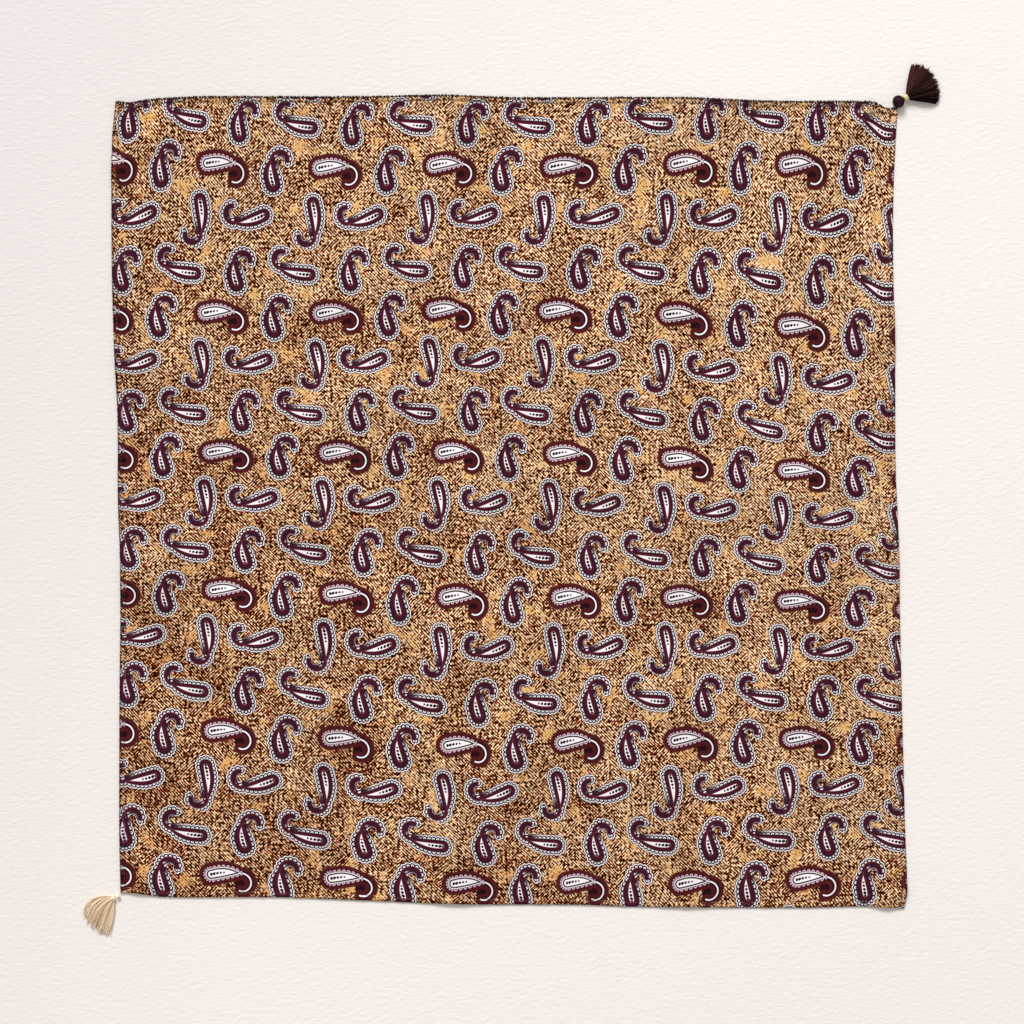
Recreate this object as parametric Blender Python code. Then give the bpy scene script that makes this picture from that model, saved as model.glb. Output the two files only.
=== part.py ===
"""Square printed scarf, laid flat, with a tassel sewn to each of two opposite corners.

Units are metres, +Z is up and the scarf lies on the plane z = 0. The origin is on that plane, under
the middle of the cloth; +X runs to the right and +Y to the top edge. The cloth is one thin wall with
a narrow rolled hem along each side. The top right corner carries a dark tassel with a knotted bead,
and the bottom left corner a smaller natural one.
"""

import math

import bmesh
import bpy
from mathutils import Matrix, Vector

MM = 0.001

# ---- driving dimensions ----

CLOTH_WIDTH = 524 * MM
CLOTH_LENGTH = 533 * MM
CLOTH_WALL = 1.0 * MM
HEM_WIDTH = 3.0 * MM
HEM_WALL = 1.6 * MM
SEAM_GAP = 0.3 * MM

# Where the four corners of the cloth lie: x, y in mm.
CORNERS_MM = {
    "top_left": (-263.6, 269.3),
    "top_right": (260.0, 265.0),
    "bottom_left": (-260.3, -261.0),
    "bottom_right": (264.3, -271.0),
}

# How far each side bows out from the straight line between its corners. Rows: share of the way
# along the side (from the left, or from the top), distance outwards in mm.
SIDE_BOWS_MM = {
    "top": [(0, 0), (0.015, -1.1), (0.04, 1.2), (0.11, 3.5), (0.30, 4.3), (0.42, 5.8), (0.52, 4.6),
            (0.71, 5.5), (0.85, 3.6), (0.965, 3.6), (0.985, -0.6), (1, 0)],
    "right": [(0, 0), (0.05, -1.9), (0.12, -3.6), (0.20, -3.9), (0.30, -3.1), (0.45, -3.4),
              (0.52, -2.0), (0.70, -0.8), (0.80, 0.1), (0.90, 1.0), (0.975, 2.0), (1, 0)],
    "bottom": [(0, 0), (0.017, -0.5), (0.04, 1.4), (0.06, 2.0), (0.13, 1.4), (0.20, 0.7),
               (0.30, 1.6), (0.43, 3.0), (0.58, 1.9), (0.65, 2.5), (0.74, 2.1), (0.87, 1.0),
               (0.945, -0.6), (1, 0)],
    "left": [(0, 0), (0.05, 2.6), (0.20, 3.3), (0.30, 2.3), (0.40, 0.1), (0.50, 0.2), (0.60, -1.2),
             (0.75, -0.1), (0.93, 0.6), (1, 0)],
}

# Soft ridges where the cloth stands off the table. Columns, all in mm: the crest's two ends,
# the reach of the ridge to each side of its crest, and its height.
FOLDS_MM = [
    # name                 x0      y0      x1      y1   reach height
    ("top_left_pull",   -262.3,  222.1, -226.1,  259.6,  15,  2.6),
    ("top_right_hump",   245.0,  268.5,  229.5,  250.0,  10,  3.2),
    ("bottom_right_curl", 266.3, -257.5, 250.4, -270.8,  10,  3.6),
    ("bottom_left_lift", -249.6, -261.8, -243.5, -244.2,  10,  2.2),
    ("top_left_tip",    -259.0,  269.0, -252.0,  262.0,   8,  1.4),
    ("left_wave_upper", -261.5,   92.0, -232.0,   84.0,  26,  1.3),
    ("left_wave_lower", -260.5,  -52.0, -228.0,  -44.0,  28,  1.5),
    ("right_wave_upper", 258.0,  116.0,  222.0,  108.0,  30,  1.6),
    ("right_wave_lower", 261.0,  -40.0,  226.0,  -30.0,  30,  1.4),
    ("top_wave_left",    -44.0,  274.0,  -50.0,  238.0,  26,  1.5),
    ("top_wave_right",   122.0,  271.0,  132.0,  236.0,  28,  1.2),
    ("bottom_wave_left", -36.0, -268.0,  -30.0, -236.0,  28,  1.3),
    ("bottom_wave_right", 120.0, -270.0, 112.0, -240.0,  26,  1.0),
    ("swell_upper_left", -150.0, 120.0,  -40.0,  146.0,  46,  0.9),
    ("swell_left",      -170.0,  -96.0, -110.0,  -70.0,  44,  0.8),
    ("swell_right",      120.0,   60.0,  150.0,  -60.0,  48,  0.9),
    ("swell_lower",      -20.0, -170.0,   90.0, -186.0,  46,  0.8),
]

PANEL_STATIONS = 36
EDGE_CROWDING = 0.6

# The cross-section of a rolled hem, as shares of its width (from the fold inwards) and of its
# thickness (from the table up).
HEM_PROFILE = [(0.0, 0.35), (0.12, 0.0), (0.88, 0.0), (1.0, 0.2), (1.0, 0.8), (0.85, 1.0),
               (0.15, 1.0), (0.0, 0.65)]

# ---- dark tassel, top right corner ----

BEAD_AT_MM = (260.6, 269.6)
BEAD_RADIUS = 4.1 * MM
BEAD_HEIGHT = 7.8 * MM
BEAD_SIDES = 20
BEAD_RINGS = 12

DARK_BINDING = {"radius": 2.1 * MM, "length": 2.4 * MM, "turn": math.radians(25),
                "centre": Vector((266.05 * MM, 272.15 * MM, 3.0 * MM))}

# A skirt is a flat fan of cut threads. root and bend are the lines from its first edge to its last
# where the threads leave the binding and where they would meet if they ran on straight; tips is
# the line of cut ends, with rows of x, y; all in mm.
DARK_SKIRT = {
    "root": [(267.3, 277.0), (270.3, 269.2)],
    "bend": [(268.7, 285.0), (277.5, 268.6)],
    "tips": [(270.6, 295.0), (276.4, 293.7), (282.1, 289.8), (285.8, 284.4), (287.8, 278.4),
             (288.7, 271.7), (286.4, 267.0)],
    "neck_wall": 5.0 * MM,
    "tip_wall": 1.8 * MM,
    "neck_lift": 0.5 * MM,
}

# ---- natural tassel, bottom left corner ----

HEAD_AT_MM = (-261.95, -262.75)
HEAD_RADIUS = 1.7 * MM
HEAD_HEIGHT = 3.2 * MM
HEAD_SIDES = 16
HEAD_RINGS = 10

NATURAL_BINDING = {"radius": 1.35 * MM, "length": 1.9 * MM, "turn": math.radians(208),
                   "centre": Vector((-264.55 * MM, -264.13 * MM, 1.7 * MM))}

NATURAL_SKIRT = {
    "root": [(-266.2, -262.9), (-264.7, -266.7)],
    "bend": [(-275.4, -259.4), (-264.0, -276.5)],
    "tips": [(-285.8, -268.7), (-283.7, -275.0), (-279.7, -282.4), (-275.7, -287.1),
             (-271.7, -290.1), (-268.3, -289.4)],
    "neck_wall": 2.8 * MM,
    "tip_wall": 1.8 * MM,
    "neck_lift": 0.2 * MM,
}

SKIRT_STRANDS = 14
SKIRT_STEPS = 7
SKIRT_EDGE_SHARE = 0.55
BINDING_SIDES = 16
BINDING_ROUNDING = 0.5 * MM

# Colour, roughness and metallic value of each material.
MATERIALS = {
    "printed_cloth": ((0.42, 0.25, 0.12), 0.75, 0.0),
    "hem_cloth": ((0.20, 0.10, 0.05), 0.8, 0.0),
    "dark_thread": ((0.035, 0.016, 0.014), 0.7, 0.0),
    "gold_thread": ((0.55, 0.44, 0.16), 0.5, 0.0),
    "natural_thread": ((0.68, 0.55, 0.38), 0.75, 0.0),
}


# ---- scene and object helpers ----

def clear_scene():
    for obj in list(bpy.data.objects):
        bpy.data.objects.remove(obj, do_unlink=True)


def make_material(name):
    color, roughness, metallic = MATERIALS[name]
    material = bpy.data.materials.new(name)
    material.use_nodes = True
    shader = material.node_tree.nodes["Principled BSDF"]
    shader.inputs["Base Color"].default_value = (*color, 1.0)
    shader.inputs["Roughness"].default_value = roughness
    shader.inputs["Metallic"].default_value = metallic
    return material


def add_object(name, mesh_builder, material, sharp_angle=math.radians(35)):
    """Make an object from a bmesh, with its normals pointing out and round parts smooth."""
    bmesh.ops.recalc_face_normals(mesh_builder, faces=mesh_builder.faces[:])
    mesh = bpy.data.meshes.new(name)
    mesh_builder.to_mesh(mesh)
    mesh_builder.free()
    mesh.materials.append(material)
    mesh.shade_smooth()
    mesh.set_sharp_from_angle(angle=sharp_angle)
    obj = bpy.data.objects.new(name, mesh)
    bpy.context.scene.collection.objects.link(obj)
    return obj


# ---- the laid cloth as a function of its cut ----

def row_curve(rows, place):
    """Value at a place on the smooth curve through rows of (place, value)."""
    last = len(rows) - 1
    step = next(i for i in range(last) if place <= rows[i + 1][0] or i == last - 1)

    def slope(i):
        before, after = rows[max(i - 1, 0)], rows[min(i + 1, last)]
        return (after[1] - before[1]) / (after[0] - before[0])

    (start, low), (end, high) = rows[step], rows[step + 1]
    span = end - start
    t = min(max((place - start) / span, 0.0), 1.0)
    return (
        (2 * t**3 - 3 * t**2 + 1) * low
        + (t**3 - 2 * t**2 + t) * span * slope(step)
        + (3 * t**2 - 2 * t**3) * high
        + (t**3 - t**2) * span * slope(step + 1)
    )


def corner(name):
    x, y = CORNERS_MM[name]
    return Vector((x, y)) * MM


SIDES = {
    # side: first corner, last corner, outward direction
    "top": ("top_left", "top_right", Vector((0, 1))),
    "right": ("top_right", "bottom_right", Vector((1, 0))),
    "bottom": ("bottom_left", "bottom_right", Vector((0, -1))),
    "left": ("top_left", "bottom_left", Vector((-1, 0))),
}


def side_point(side, share):
    first, last, outward = SIDES[side]
    bow = row_curve(SIDE_BOWS_MM[side], share) * MM
    return corner(first).lerp(corner(last), share) + outward * bow


def laid_point(across, down):
    """Where a point of the cut cloth lies: across from the left side, down from the top side."""
    s = across / CLOTH_WIDTH
    t = down / CLOTH_LENGTH
    between_rows = side_point("top", s).lerp(side_point("bottom", s), t)
    between_columns = side_point("left", t).lerp(side_point("right", t), s)
    upper = corner("top_left").lerp(corner("top_right"), s)
    lower = corner("bottom_left").lerp(corner("bottom_right"), s)
    return between_rows + between_columns - upper.lerp(lower, t)


def ridge_height(point, x0, y0, x1, y1, reach, height):
    """Height of one soft ridge, a raised cosine across its crest line, at a point in mm."""
    start = Vector((x0, y0))
    crest = Vector((x1, y1)) - start
    along = min(max((point - start).dot(crest) / crest.length_squared, 0.0), 1.0)
    distance = (point - start - crest * along).length
    if distance >= reach:
        return 0.0
    return height * 0.5 * (1 + math.cos(math.pi * distance / reach))


def relief(point):
    """How far the cloth's underside stands off the table at a laid point."""
    point_mm = point / MM
    return max(ridge_height(point_mm, *row[1:]) for row in FOLDS_MM) * MM


def cloth_point(across, down, above=0.0):
    flat = laid_point(across, down)
    return Vector((flat.x, flat.y, relief(flat) + above))


def crowded_stations(count, low, high):
    """Places from low to high that lie closer together near both ends."""
    shares = [i / count for i in range(count + 1)]
    return [
        low + (high - low) * ((1 - EDGE_CROWDING) * u
                              + EDGE_CROWDING * 0.5 * (1 - math.cos(math.pi * u)))
        for u in shares
    ]


# ---- cloth panel and hems ----

def make_panel(material):
    """The printed square inside its hems: a grid moved onto the laid form, with a wall on top."""
    inset = HEM_WIDTH + SEAM_GAP
    across = crowded_stations(PANEL_STATIONS, inset, CLOTH_WIDTH - inset)
    down = crowded_stations(PANEL_STATIONS, inset, CLOTH_LENGTH - inset)
    grid = bmesh.new()
    bmesh.ops.create_grid(grid, x_segments=PANEL_STATIONS, y_segments=PANEL_STATIONS, size=1.0)
    half = PANEL_STATIONS / 2
    for vert in grid.verts:
        column = round((vert.co.x + 1) * half)
        row = round((1 - vert.co.y) * half)
        vert.co = cloth_point(across[column], down[row])
    panel = add_object("panel", grid, material, sharp_angle=math.radians(60))
    wall = panel.modifiers.new("wall", "SOLIDIFY")
    wall.thickness = CLOTH_WALL
    wall.offset = 1.0
    return panel


def hem_place(side, along, inset):
    """The cut-cloth place of a point on a hem: along its side, and in from its folded edge."""
    places = {
        "top": (along, inset),
        "bottom": (along, CLOTH_LENGTH - inset),
        "left": (inset, along),
        "right": (CLOTH_WIDTH - inset, along),
    }
    return places[side]


def make_hem(side, material):
    """A rolled hem: rings of the hem profile along one side, mitred at both corners."""
    run = CLOTH_WIDTH if side in ("top", "bottom") else CLOTH_LENGTH
    ends = SEAM_GAP * 0.75
    hem = bmesh.new()
    rings = []
    for share in crowded_stations(PANEL_STATIONS, 0.0, 1.0):
        ring = []
        for inset_share, height_share in HEM_PROFILE:
            inset = inset_share * HEM_WIDTH
            mitre = inset + ends
            along = mitre + (run - 2 * mitre) * share
            point = cloth_point(*hem_place(side, along, inset), above=height_share * HEM_WALL)
            ring.append(hem.verts.new(point))
        loop = [hem.edges.new((ring[i], ring[(i + 1) % len(ring)])) for i in range(len(ring))]
        rings.append(loop)
    for first, second in zip(rings, rings[1:]):
        bmesh.ops.bridge_loops(hem, edges=first + second)
    for end in (rings[0], rings[-1]):
        bmesh.ops.edgeloop_fill(hem, edges=end)
    return add_object("hem_" + side, hem, material)


# ---- tassels ----

def make_round_head(name, at_mm, radius, height, sides, rings, material):
    """A round knot that lies on the table, a little flattened under its own weight."""
    head = bmesh.new()
    bmesh.ops.create_uvsphere(head, u_segments=sides, v_segments=rings, radius=1.0)
    bmesh.ops.scale(head, vec=(radius, radius, height / 2), verts=head.verts[:])
    x, y = at_mm
    bmesh.ops.translate(head, vec=(x * MM, y * MM, height / 2), verts=head.verts[:])
    return add_object(name, head, material, sharp_angle=math.pi)


def make_binding(name, binding, material):
    """The thread wound round a tassel's neck: a short drum with rounded ends, lying along it."""
    drum = bmesh.new()
    bmesh.ops.create_cone(drum, cap_ends=True, segments=BINDING_SIDES, radius1=binding["radius"],
                          radius2=binding["radius"], depth=binding["length"])
    rims = [edge for edge in drum.edges if any(len(face.verts) > 4 for face in edge.link_faces)]
    bmesh.ops.bevel(drum, geom=rims, offset=BINDING_ROUNDING, segments=2, profile=0.5,
                    affect="EDGES")
    lay_down = Matrix.Rotation(binding["turn"], 4, "Z") @ Matrix.Rotation(math.pi / 2, 4, "Y")
    bmesh.ops.transform(drum, matrix=lay_down, verts=drum.verts[:])
    obj = add_object(name, drum, material)
    obj.location = binding["centre"]
    return obj


def line_point(points_mm, share):
    """A point at a share of the way along a line through a few points, in metres."""
    rows_x = [(i / (len(points_mm) - 1), point[0]) for i, point in enumerate(points_mm)]
    rows_y = [(i / (len(points_mm) - 1), point[1]) for i, point in enumerate(points_mm)]
    return Vector((row_curve(rows_x, share), row_curve(rows_y, share))) * MM


def make_skirt(name, skirt, material):
    """The fan of threads as one plain solid: thick at the neck, thin at the cut ends and edges."""
    fan = bmesh.new()
    upper, lower = [], []
    for strand in range(SKIRT_STRANDS + 1):
        share = strand / SKIRT_STRANDS
        root = line_point(skirt["root"], share)
        bend = line_point(skirt["bend"], share)
        tip = line_point(skirt["tips"], share)
        fullness = SKIRT_EDGE_SHARE + (1 - SKIRT_EDGE_SHARE) * math.sin(math.pi * share)
        tops, bottoms = [], []
        for step in range(SKIRT_STEPS + 1):
            t = step / SKIRT_STEPS
            flat = root * (1 - t) ** 2 + bend * 2 * t * (1 - t) + tip * t**2
            lift = skirt["neck_lift"] * (1 - t) ** 2
            wall = (skirt["neck_wall"] * (1 - t) + skirt["tip_wall"] * t) * fullness
            tops.append(fan.verts.new((flat.x, flat.y, lift + wall)))
            bottoms.append(fan.verts.new((flat.x, flat.y, lift)))
        upper.append(tops)
        lower.append(bottoms)
    for strand in range(SKIRT_STRANDS):
        for step in range(SKIRT_STEPS):
            for sheet in (upper, lower):
                here, there = sheet[strand], sheet[strand + 1]
                fan.faces.new((here[step], here[step + 1], there[step + 1], there[step]))
        for step in (0, SKIRT_STEPS):
            fan.faces.new((upper[strand][step], upper[strand + 1][step],
                           lower[strand + 1][step], lower[strand][step]))
    for strand in (0, SKIRT_STRANDS):
        for step in range(SKIRT_STEPS):
            fan.faces.new((upper[strand][step], upper[strand][step + 1],
                           lower[strand][step + 1], lower[strand][step]))
    return add_object(name, fan, material, sharp_angle=math.radians(50))


def make_dark_tassel(thread, gold):
    make_round_head("dark_bead", BEAD_AT_MM, BEAD_RADIUS, BEAD_HEIGHT, BEAD_SIDES, BEAD_RINGS,
                    thread)
    make_binding("dark_binding", DARK_BINDING, gold)
    make_skirt("dark_skirt", DARK_SKIRT, thread)


def make_natural_tassel(thread):
    make_round_head("natural_head", HEAD_AT_MM, HEAD_RADIUS, HEAD_HEIGHT, HEAD_SIDES, HEAD_RINGS,
                    thread)
    make_binding("natural_binding", NATURAL_BINDING, thread)
    make_skirt("natural_skirt", NATURAL_SKIRT, thread)


def main():
    clear_scene()
    materials = {name: make_material(name) for name in MATERIALS}
    make_panel(materials["printed_cloth"])
    for side in SIDES:
        make_hem(side, materials["hem_cloth"])
    make_dark_tassel(materials["dark_thread"], materials["gold_thread"])
    make_natural_tassel(materials["natural_thread"])


main()
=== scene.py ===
"""Looks of the square paisley scarf: printed cloth, rolled hems and two corner tassels."""

import math
import random

import bpy
from mathutils import Euler, Matrix, Vector


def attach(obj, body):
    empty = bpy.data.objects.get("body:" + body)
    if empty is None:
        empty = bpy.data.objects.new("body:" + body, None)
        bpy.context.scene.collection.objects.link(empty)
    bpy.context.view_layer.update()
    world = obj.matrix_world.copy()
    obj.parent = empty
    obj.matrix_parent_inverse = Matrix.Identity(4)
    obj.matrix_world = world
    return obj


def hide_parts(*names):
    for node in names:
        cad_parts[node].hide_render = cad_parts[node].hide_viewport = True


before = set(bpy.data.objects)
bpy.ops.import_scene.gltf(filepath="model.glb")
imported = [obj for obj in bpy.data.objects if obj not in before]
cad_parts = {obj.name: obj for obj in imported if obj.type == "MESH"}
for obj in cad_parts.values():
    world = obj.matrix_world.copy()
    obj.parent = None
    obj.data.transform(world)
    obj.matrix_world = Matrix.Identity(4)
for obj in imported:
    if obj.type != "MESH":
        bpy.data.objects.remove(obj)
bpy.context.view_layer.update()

MM = 0.001

# ---- sizes of the cloth, as it is constructed ----

CLOTH_WIDTH = 524 * MM
CLOTH_LENGTH = 533 * MM
HEM_WIDTH = 3.0 * MM
HEM_WALL = 1.6 * MM

# Where the four corners of the cloth lie: x, y in mm.
CORNERS_MM = {
    "top_left": (-263.6, 269.3),
    "top_right": (260.0, 265.0),
    "bottom_left": (-260.3, -261.0),
    "bottom_right": (264.3, -271.0),
}

# How far each side bows out from the straight line between its corners. Rows: share of the way
# along the side (from the left, or from the top), distance outwards in mm.
SIDE_BOWS_MM = {
    "top": [(0, 0), (0.015, -1.1), (0.04, 1.2), (0.11, 3.5), (0.30, 4.3), (0.42, 5.8), (0.52, 4.6),
            (0.71, 5.5), (0.85, 3.6), (0.965, 3.6), (0.985, -0.6), (1, 0)],
    "right": [(0, 0), (0.05, -1.9), (0.12, -3.6), (0.20, -3.9), (0.30, -3.1), (0.45, -3.4),
              (0.52, -2.0), (0.70, -0.8), (0.80, 0.1), (0.90, 1.0), (0.975, 2.0), (1, 0)],
    "bottom": [(0, 0), (0.017, -0.5), (0.04, 1.4), (0.06, 2.0), (0.13, 1.4), (0.20, 0.7),
               (0.30, 1.6), (0.43, 3.0), (0.58, 1.9), (0.65, 2.5), (0.74, 2.1), (0.87, 1.0),
               (0.945, -0.6), (1, 0)],
    "left": [(0, 0), (0.05, 2.6), (0.20, 3.3), (0.30, 2.3), (0.40, 0.1), (0.50, 0.2), (0.60, -1.2),
             (0.75, -0.1), (0.93, 0.6), (1, 0)],
}

# Soft ridges where the cloth stands off the table. Columns, all in mm: the crest's two ends,
# the reach of the ridge to each side of its crest, and its height.
FOLDS_MM = [
    # name                 x0      y0      x1      y1   reach height
    ("top_left_pull",   -262.3,  222.1, -226.1,  259.6,  15,  2.6),
    ("top_right_hump",   245.0,  268.5,  229.5,  250.0,  10,  3.2),
    ("bottom_right_curl", 266.3, -257.5, 250.4, -270.8,  10,  2.0),
    ("bottom_left_lift", -249.6, -261.8, -243.5, -244.2,  10,  1.3),
    ("top_left_tip",    -259.0,  269.0, -252.0,  262.0,   8,  1.4),
    ("left_wave_upper", -261.5,   92.0, -232.0,   84.0,  26,  1.3),
    ("left_wave_lower", -260.5,  -52.0, -228.0,  -44.0,  28,  1.5),
    ("right_wave_upper", 258.0,  116.0,  222.0,  108.0,  30,  1.6),
    ("right_wave_lower", 261.0,  -40.0,  226.0,  -30.0,  30,  1.4),
    ("top_wave_left",    -44.0,  274.0,  -50.0,  238.0,  26,  1.5),
    ("top_wave_right",   122.0,  271.0,  132.0,  236.0,  28,  1.2),
    ("bottom_wave_left", -36.0, -268.0,  -30.0, -236.0,  28,  1.3),
    ("bottom_wave_right", 120.0, -270.0, 112.0, -240.0,  26,  1.0),
    ("swell_upper_left", -150.0, 120.0,  -40.0,  146.0,  46,  0.9),
    ("swell_left",      -170.0,  -96.0, -110.0,  -70.0,  44,  0.8),
    ("swell_right",      120.0,   60.0,  150.0,  -60.0,  48,  0.9),
    ("swell_lower",      -20.0, -170.0,   90.0, -186.0,  46,  0.8),
]

# Fine creases on top of those folds, with the same columns.
CREASES_MM = [
    # name                  x0      y0      x1      y1   reach height
    ("corner_crease",    -252.0,  204.0, -212.0,  246.0,   6, 0.55),
    ("corner_crease_low", -240.0, 196.0, -222.0,  214.0,   7, 0.35),
    ("top_crease",        -12.0,  262.0,   -4.0,  214.0,   9, 0.30),
    ("top_right_crease",  196.0,  258.0,  206.0,  226.0,   8, 0.35),
    ("right_crease",      250.0,   62.0,  214.0,   40.0,   8, 0.35),
    ("right_low_crease",  256.0, -128.0,  222.0, -112.0,   9, 0.35),
    ("bottom_crease",      60.0, -262.0,   52.0, -228.0,   8, 0.30),
    ("bottom_right_fold", 232.0, -262.0,  246.0, -236.0,   8, 0.45),
    ("bottom_left_crease", -214.0, -256.0, -196.0, -232.0, 8, 0.35),
    ("left_crease",      -252.0,   14.0, -218.0,   22.0,   8, 0.35),
    ("middle_crease",     -84.0,   18.0,  -20.0,   34.0,  12, 0.25),
    ("middle_low_crease",  14.0,  -74.0,   78.0,  -60.0,  12, 0.25),
    ("upper_right_crease", 66.0,  140.0,  128.0,  156.0,  12, 0.25),
    ("lower_left_crease", -128.0, -150.0, -84.0, -176.0,  12, 0.25),
]

CLOTH_THICKNESS = 0.5 * MM
CLOTH_OFF_TABLE = 0.08 * MM
PANEL_STATIONS = 190
# How far the panel's rim lies in from the folded edge, under the hem.
PANEL_INSET = 0.75 * HEM_WIDTH

HEM_STATIONS = 240
HEM_LAP = 0.5 * MM
HEM_PUCKER = 0.09
HEM_SWELL = 0.1
# Shares of a hem's thickness: it puckers above the first, and its print runs on below the second.
HEM_PUCKERS_ABOVE = 0.5
HEM_UNDER_BELOW = 0.4
# How far in from the fold its painted shade and darker tone reach, as a share of the roll's width.
FOLD_SHADE_REACH = 0.6
HEM_STITCH_PITCH = 2.6 * MM
HEM_STITCH_INSET = 2.6 * MM
HEM_STITCH_RADIUS = 0.17 * MM

# One running stitch. Rows: share of its half length along the hem, rise as a share of the hem's
# thickness above where the thread lies.
HEM_STITCH_HALF = 0.33 * HEM_STITCH_PITCH
HEM_STITCH_LEVEL = 0.86
HEM_STITCH_PATH = [(-1.0, -0.2), (-0.6, 0.06), (0.6, 0.06), (1.0, -0.2)]

# The cross-section of a rolled hem, as shares of its width (from the fold inwards) and of its
# thickness (from the table up).
HEM_ROLL = [(0.0, 0.45), (0.05, 0.18), (0.18, 0.03), (0.5, 0.0), (0.88, 0.03), (1.0, 0.12),
            (1.04, 0.36), (0.96, 0.62), (0.78, 0.86), (0.5, 0.98), (0.2, 0.92), (0.05, 0.72)]

# How much darker the fold of each side is: partly painted shade along the rolled edge, partly the
# edge's own darker tone.
FOLD_SHADE_TONES = {"top": 1.0, "right": 0.25, "bottom": 0.45, "left": 0.8}

# The sides whose fold is whipped over with thread. Columns: thread radius, pitch, how far each
# stitch reaches in from the fold and how far it stands proud of it, all in mm.
EDGE_WHIPS_MM = {
    "top": (0.5, 1.25, 0.9, 0.35),
    "left": (0.25, 1.2, 0.4, 0.05),
}

# ---- sizes of the print ----

PRINT_REPEAT_MM = (77.5, 94.6)

# The places where the laid cloth, and so its print, is tugged out of true. Columns: place across
# and down the cloth, how far the print shifts across and down there, and how far the tug reaches.
PRINT_TUGS_MM = [
    # across down  shift    down   reach
    (  0,     0,   -5.5,    8.0,    80),
    (455,     0,    0.5,    7.5,    90),
    (370,    40,   -6.0,    0.0,    80),
    (285,   125,    4.0,    0.0,   100),
    (100,   145,    0.5,   -4.5,   115),
    (524,   205,   -2.0,  -15.0,   130),
    (185,   270,   -3.0,    0.5,    80),
    (  0,   390,    0.5,    4.0,    80),
    (430,   345,    3.5,    3.0,    85),
    (215,   430,   -1.5,   -5.0,    95),
    (240,   533,   -5.0,    1.0,    80),
    (480,   500,   -1.5,    4.5,    85),
    (  0,   533,    3.0,    1.5,    70),
]

# The six paisleys of one repeat. Columns: head's place across and down, turn to the left in
# degrees from a paisley that stands on its head, length from head to curl, radius of the head.
PAISLEYS = [
    # across  down   turn  length  head
    (238.5, 215.2,  -1.4,  15.0,  8.0),
    (288.1, 209.0,  72.8,  21.0,  7.0),
    (263.0, 245.7,  -1.0,  15.4,  8.1),
    (257.1, 265.4, 100.5,  20.5,  7.0),
    (213.0, 257.5, 178.7,  21.5,  7.1),
]
MAROON_PAISLEY = (217.1, 234.6, -92.4, 19.6, 7.7)

# ---- sizes of the tassels, as they are constructed ----

BEAD_AT_MM = (260.0, 268.6)
BEAD_RADIUS = 4.1 * MM
BEAD_HEIGHT = 7.8 * MM
BEAD_CORD = 0.62 * MM
BEAD_LANES = (-1.5, -0.5, 0.5, 1.5)
BEAD_LANE_PITCH = 1.75 * BEAD_CORD
BEAD_TURN_POINTS = 40
DARK_BINDING = {"radius": 2.1 * MM, "length": 3.2 * MM, "turn": math.radians(28),
                "centre": Vector((265.3 * MM, 271.4 * MM, 3.0 * MM)),
                "turns": 6, "inset": 0.22 * MM, "thread": 0.24 * MM}
DARK_NECK_AHEAD_MM = 0.6
DARK_SKIRT = {
    "locks": 36,
    "threads": 16,
    "thread": 0.25 * MM,
    "root": [(264.6, 276.2), (269.6, 268.4)],
    "bend": [(265.8, 284.6), (278.2, 268.0)],
    "tips": [(270.6, 295.0), (276.4, 293.7), (282.1, 289.8), (285.8, 284.4), (287.8, 278.4),
             (288.7, 271.7), (286.4, 267.0)],
    "neck_wall": 5.4 * MM,
    "tip_wall": 3.6 * MM,
    "neck_lift": 0.5 * MM,
    "ragged": 0.1,
    "stray": 0.4 * MM,
    "arch": 2.0 * MM,
    "tone": 0.0,
    "painted_light_slope": 0.6,
}
HEAD_AT_MM = (-261.95, -262.75)
HEAD_RADIUS = 1.7 * MM
HEAD_HEIGHT = 3.2 * MM
NATURAL_HEAD = {"radius": HEAD_RADIUS - 0.35 * MM, "length": 2.6 * MM,
                "turn": math.radians(208),
                "centre": Vector((HEAD_AT_MM[0] * MM, HEAD_AT_MM[1] * MM, HEAD_HEIGHT / 2)),
                "turns": 6, "inset": 0.25 * MM, "thread": 0.28 * MM}
NATURAL_BINDING = {"radius": 1.35 * MM, "length": 1.9 * MM, "turn": math.radians(208),
                   "centre": Vector((-264.55 * MM, -264.13 * MM, 1.7 * MM)),
                   "turns": 5, "inset": 0.18 * MM, "thread": 0.2 * MM}
NATURAL_SKIRT = {
    "locks": 26,
    "threads": 16,
    "thread": 0.22 * MM,
    "root": [(-267.4, -262.0), (-264.4, -266.9)],
    "bend": [(-281.6, -260.2), (-263.6, -277.5)],
    "tips": [(-284.8, -274.6), (-282.8, -279.4), (-279.4, -283.8), (-275.6, -287.2),
             (-272.0, -289.2), (-268.6, -288.0)],
    "neck_wall": 3.6 * MM,
    "tip_wall": 3.0 * MM,
    "neck_lift": 0.2 * MM,
    "ragged": 0.16,
    "stray": 0.9 * MM,
    "arch": 1.2 * MM,
    "tone": 0.3,
    "painted_light_slope": 0.1,
}
# A skirt's height at the two edges of its fan, as a share of that in its middle.
SKIRT_EDGE_SHARE = 0.55
SKIRT_STEPS = 11
LEAST_THREAD_HEIGHT = 0.25 * MM
THREAD_THINNING = 0.3
# How much the tone varies from lock to lock, and from thread to thread within a lock.
LOCK_TONES = 0.4
THREAD_TONES = 0.45
WINDING_STEPS = 24
WINDING_BULGE = 0.12 * MM

# ---- the view and its light ----

FRAME_WIDTH = 686 * MM
LENS_MM = 85
SENSOR_MM = 36
VIEW_CENTRE = Vector((1.7 * MM, -5.7 * MM, 0.0))
WINDOW_AT = Vector((-1.6, 6.2, 5.4))
WINDOW_SIZE = 3.0
WINDOW_POWER = 610.0
ROOM_TINT = (1.0, 0.985, 0.97, 1.0)
ROOM_STRENGTH = 0.48
TABLE_SIZE = 8.0
TABLE_BELOW = 0.05 * MM
PAPER_LINES = (230.0, 420.0, 1.0)


# ---- the laid cloth as a function of its cut ----

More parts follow.
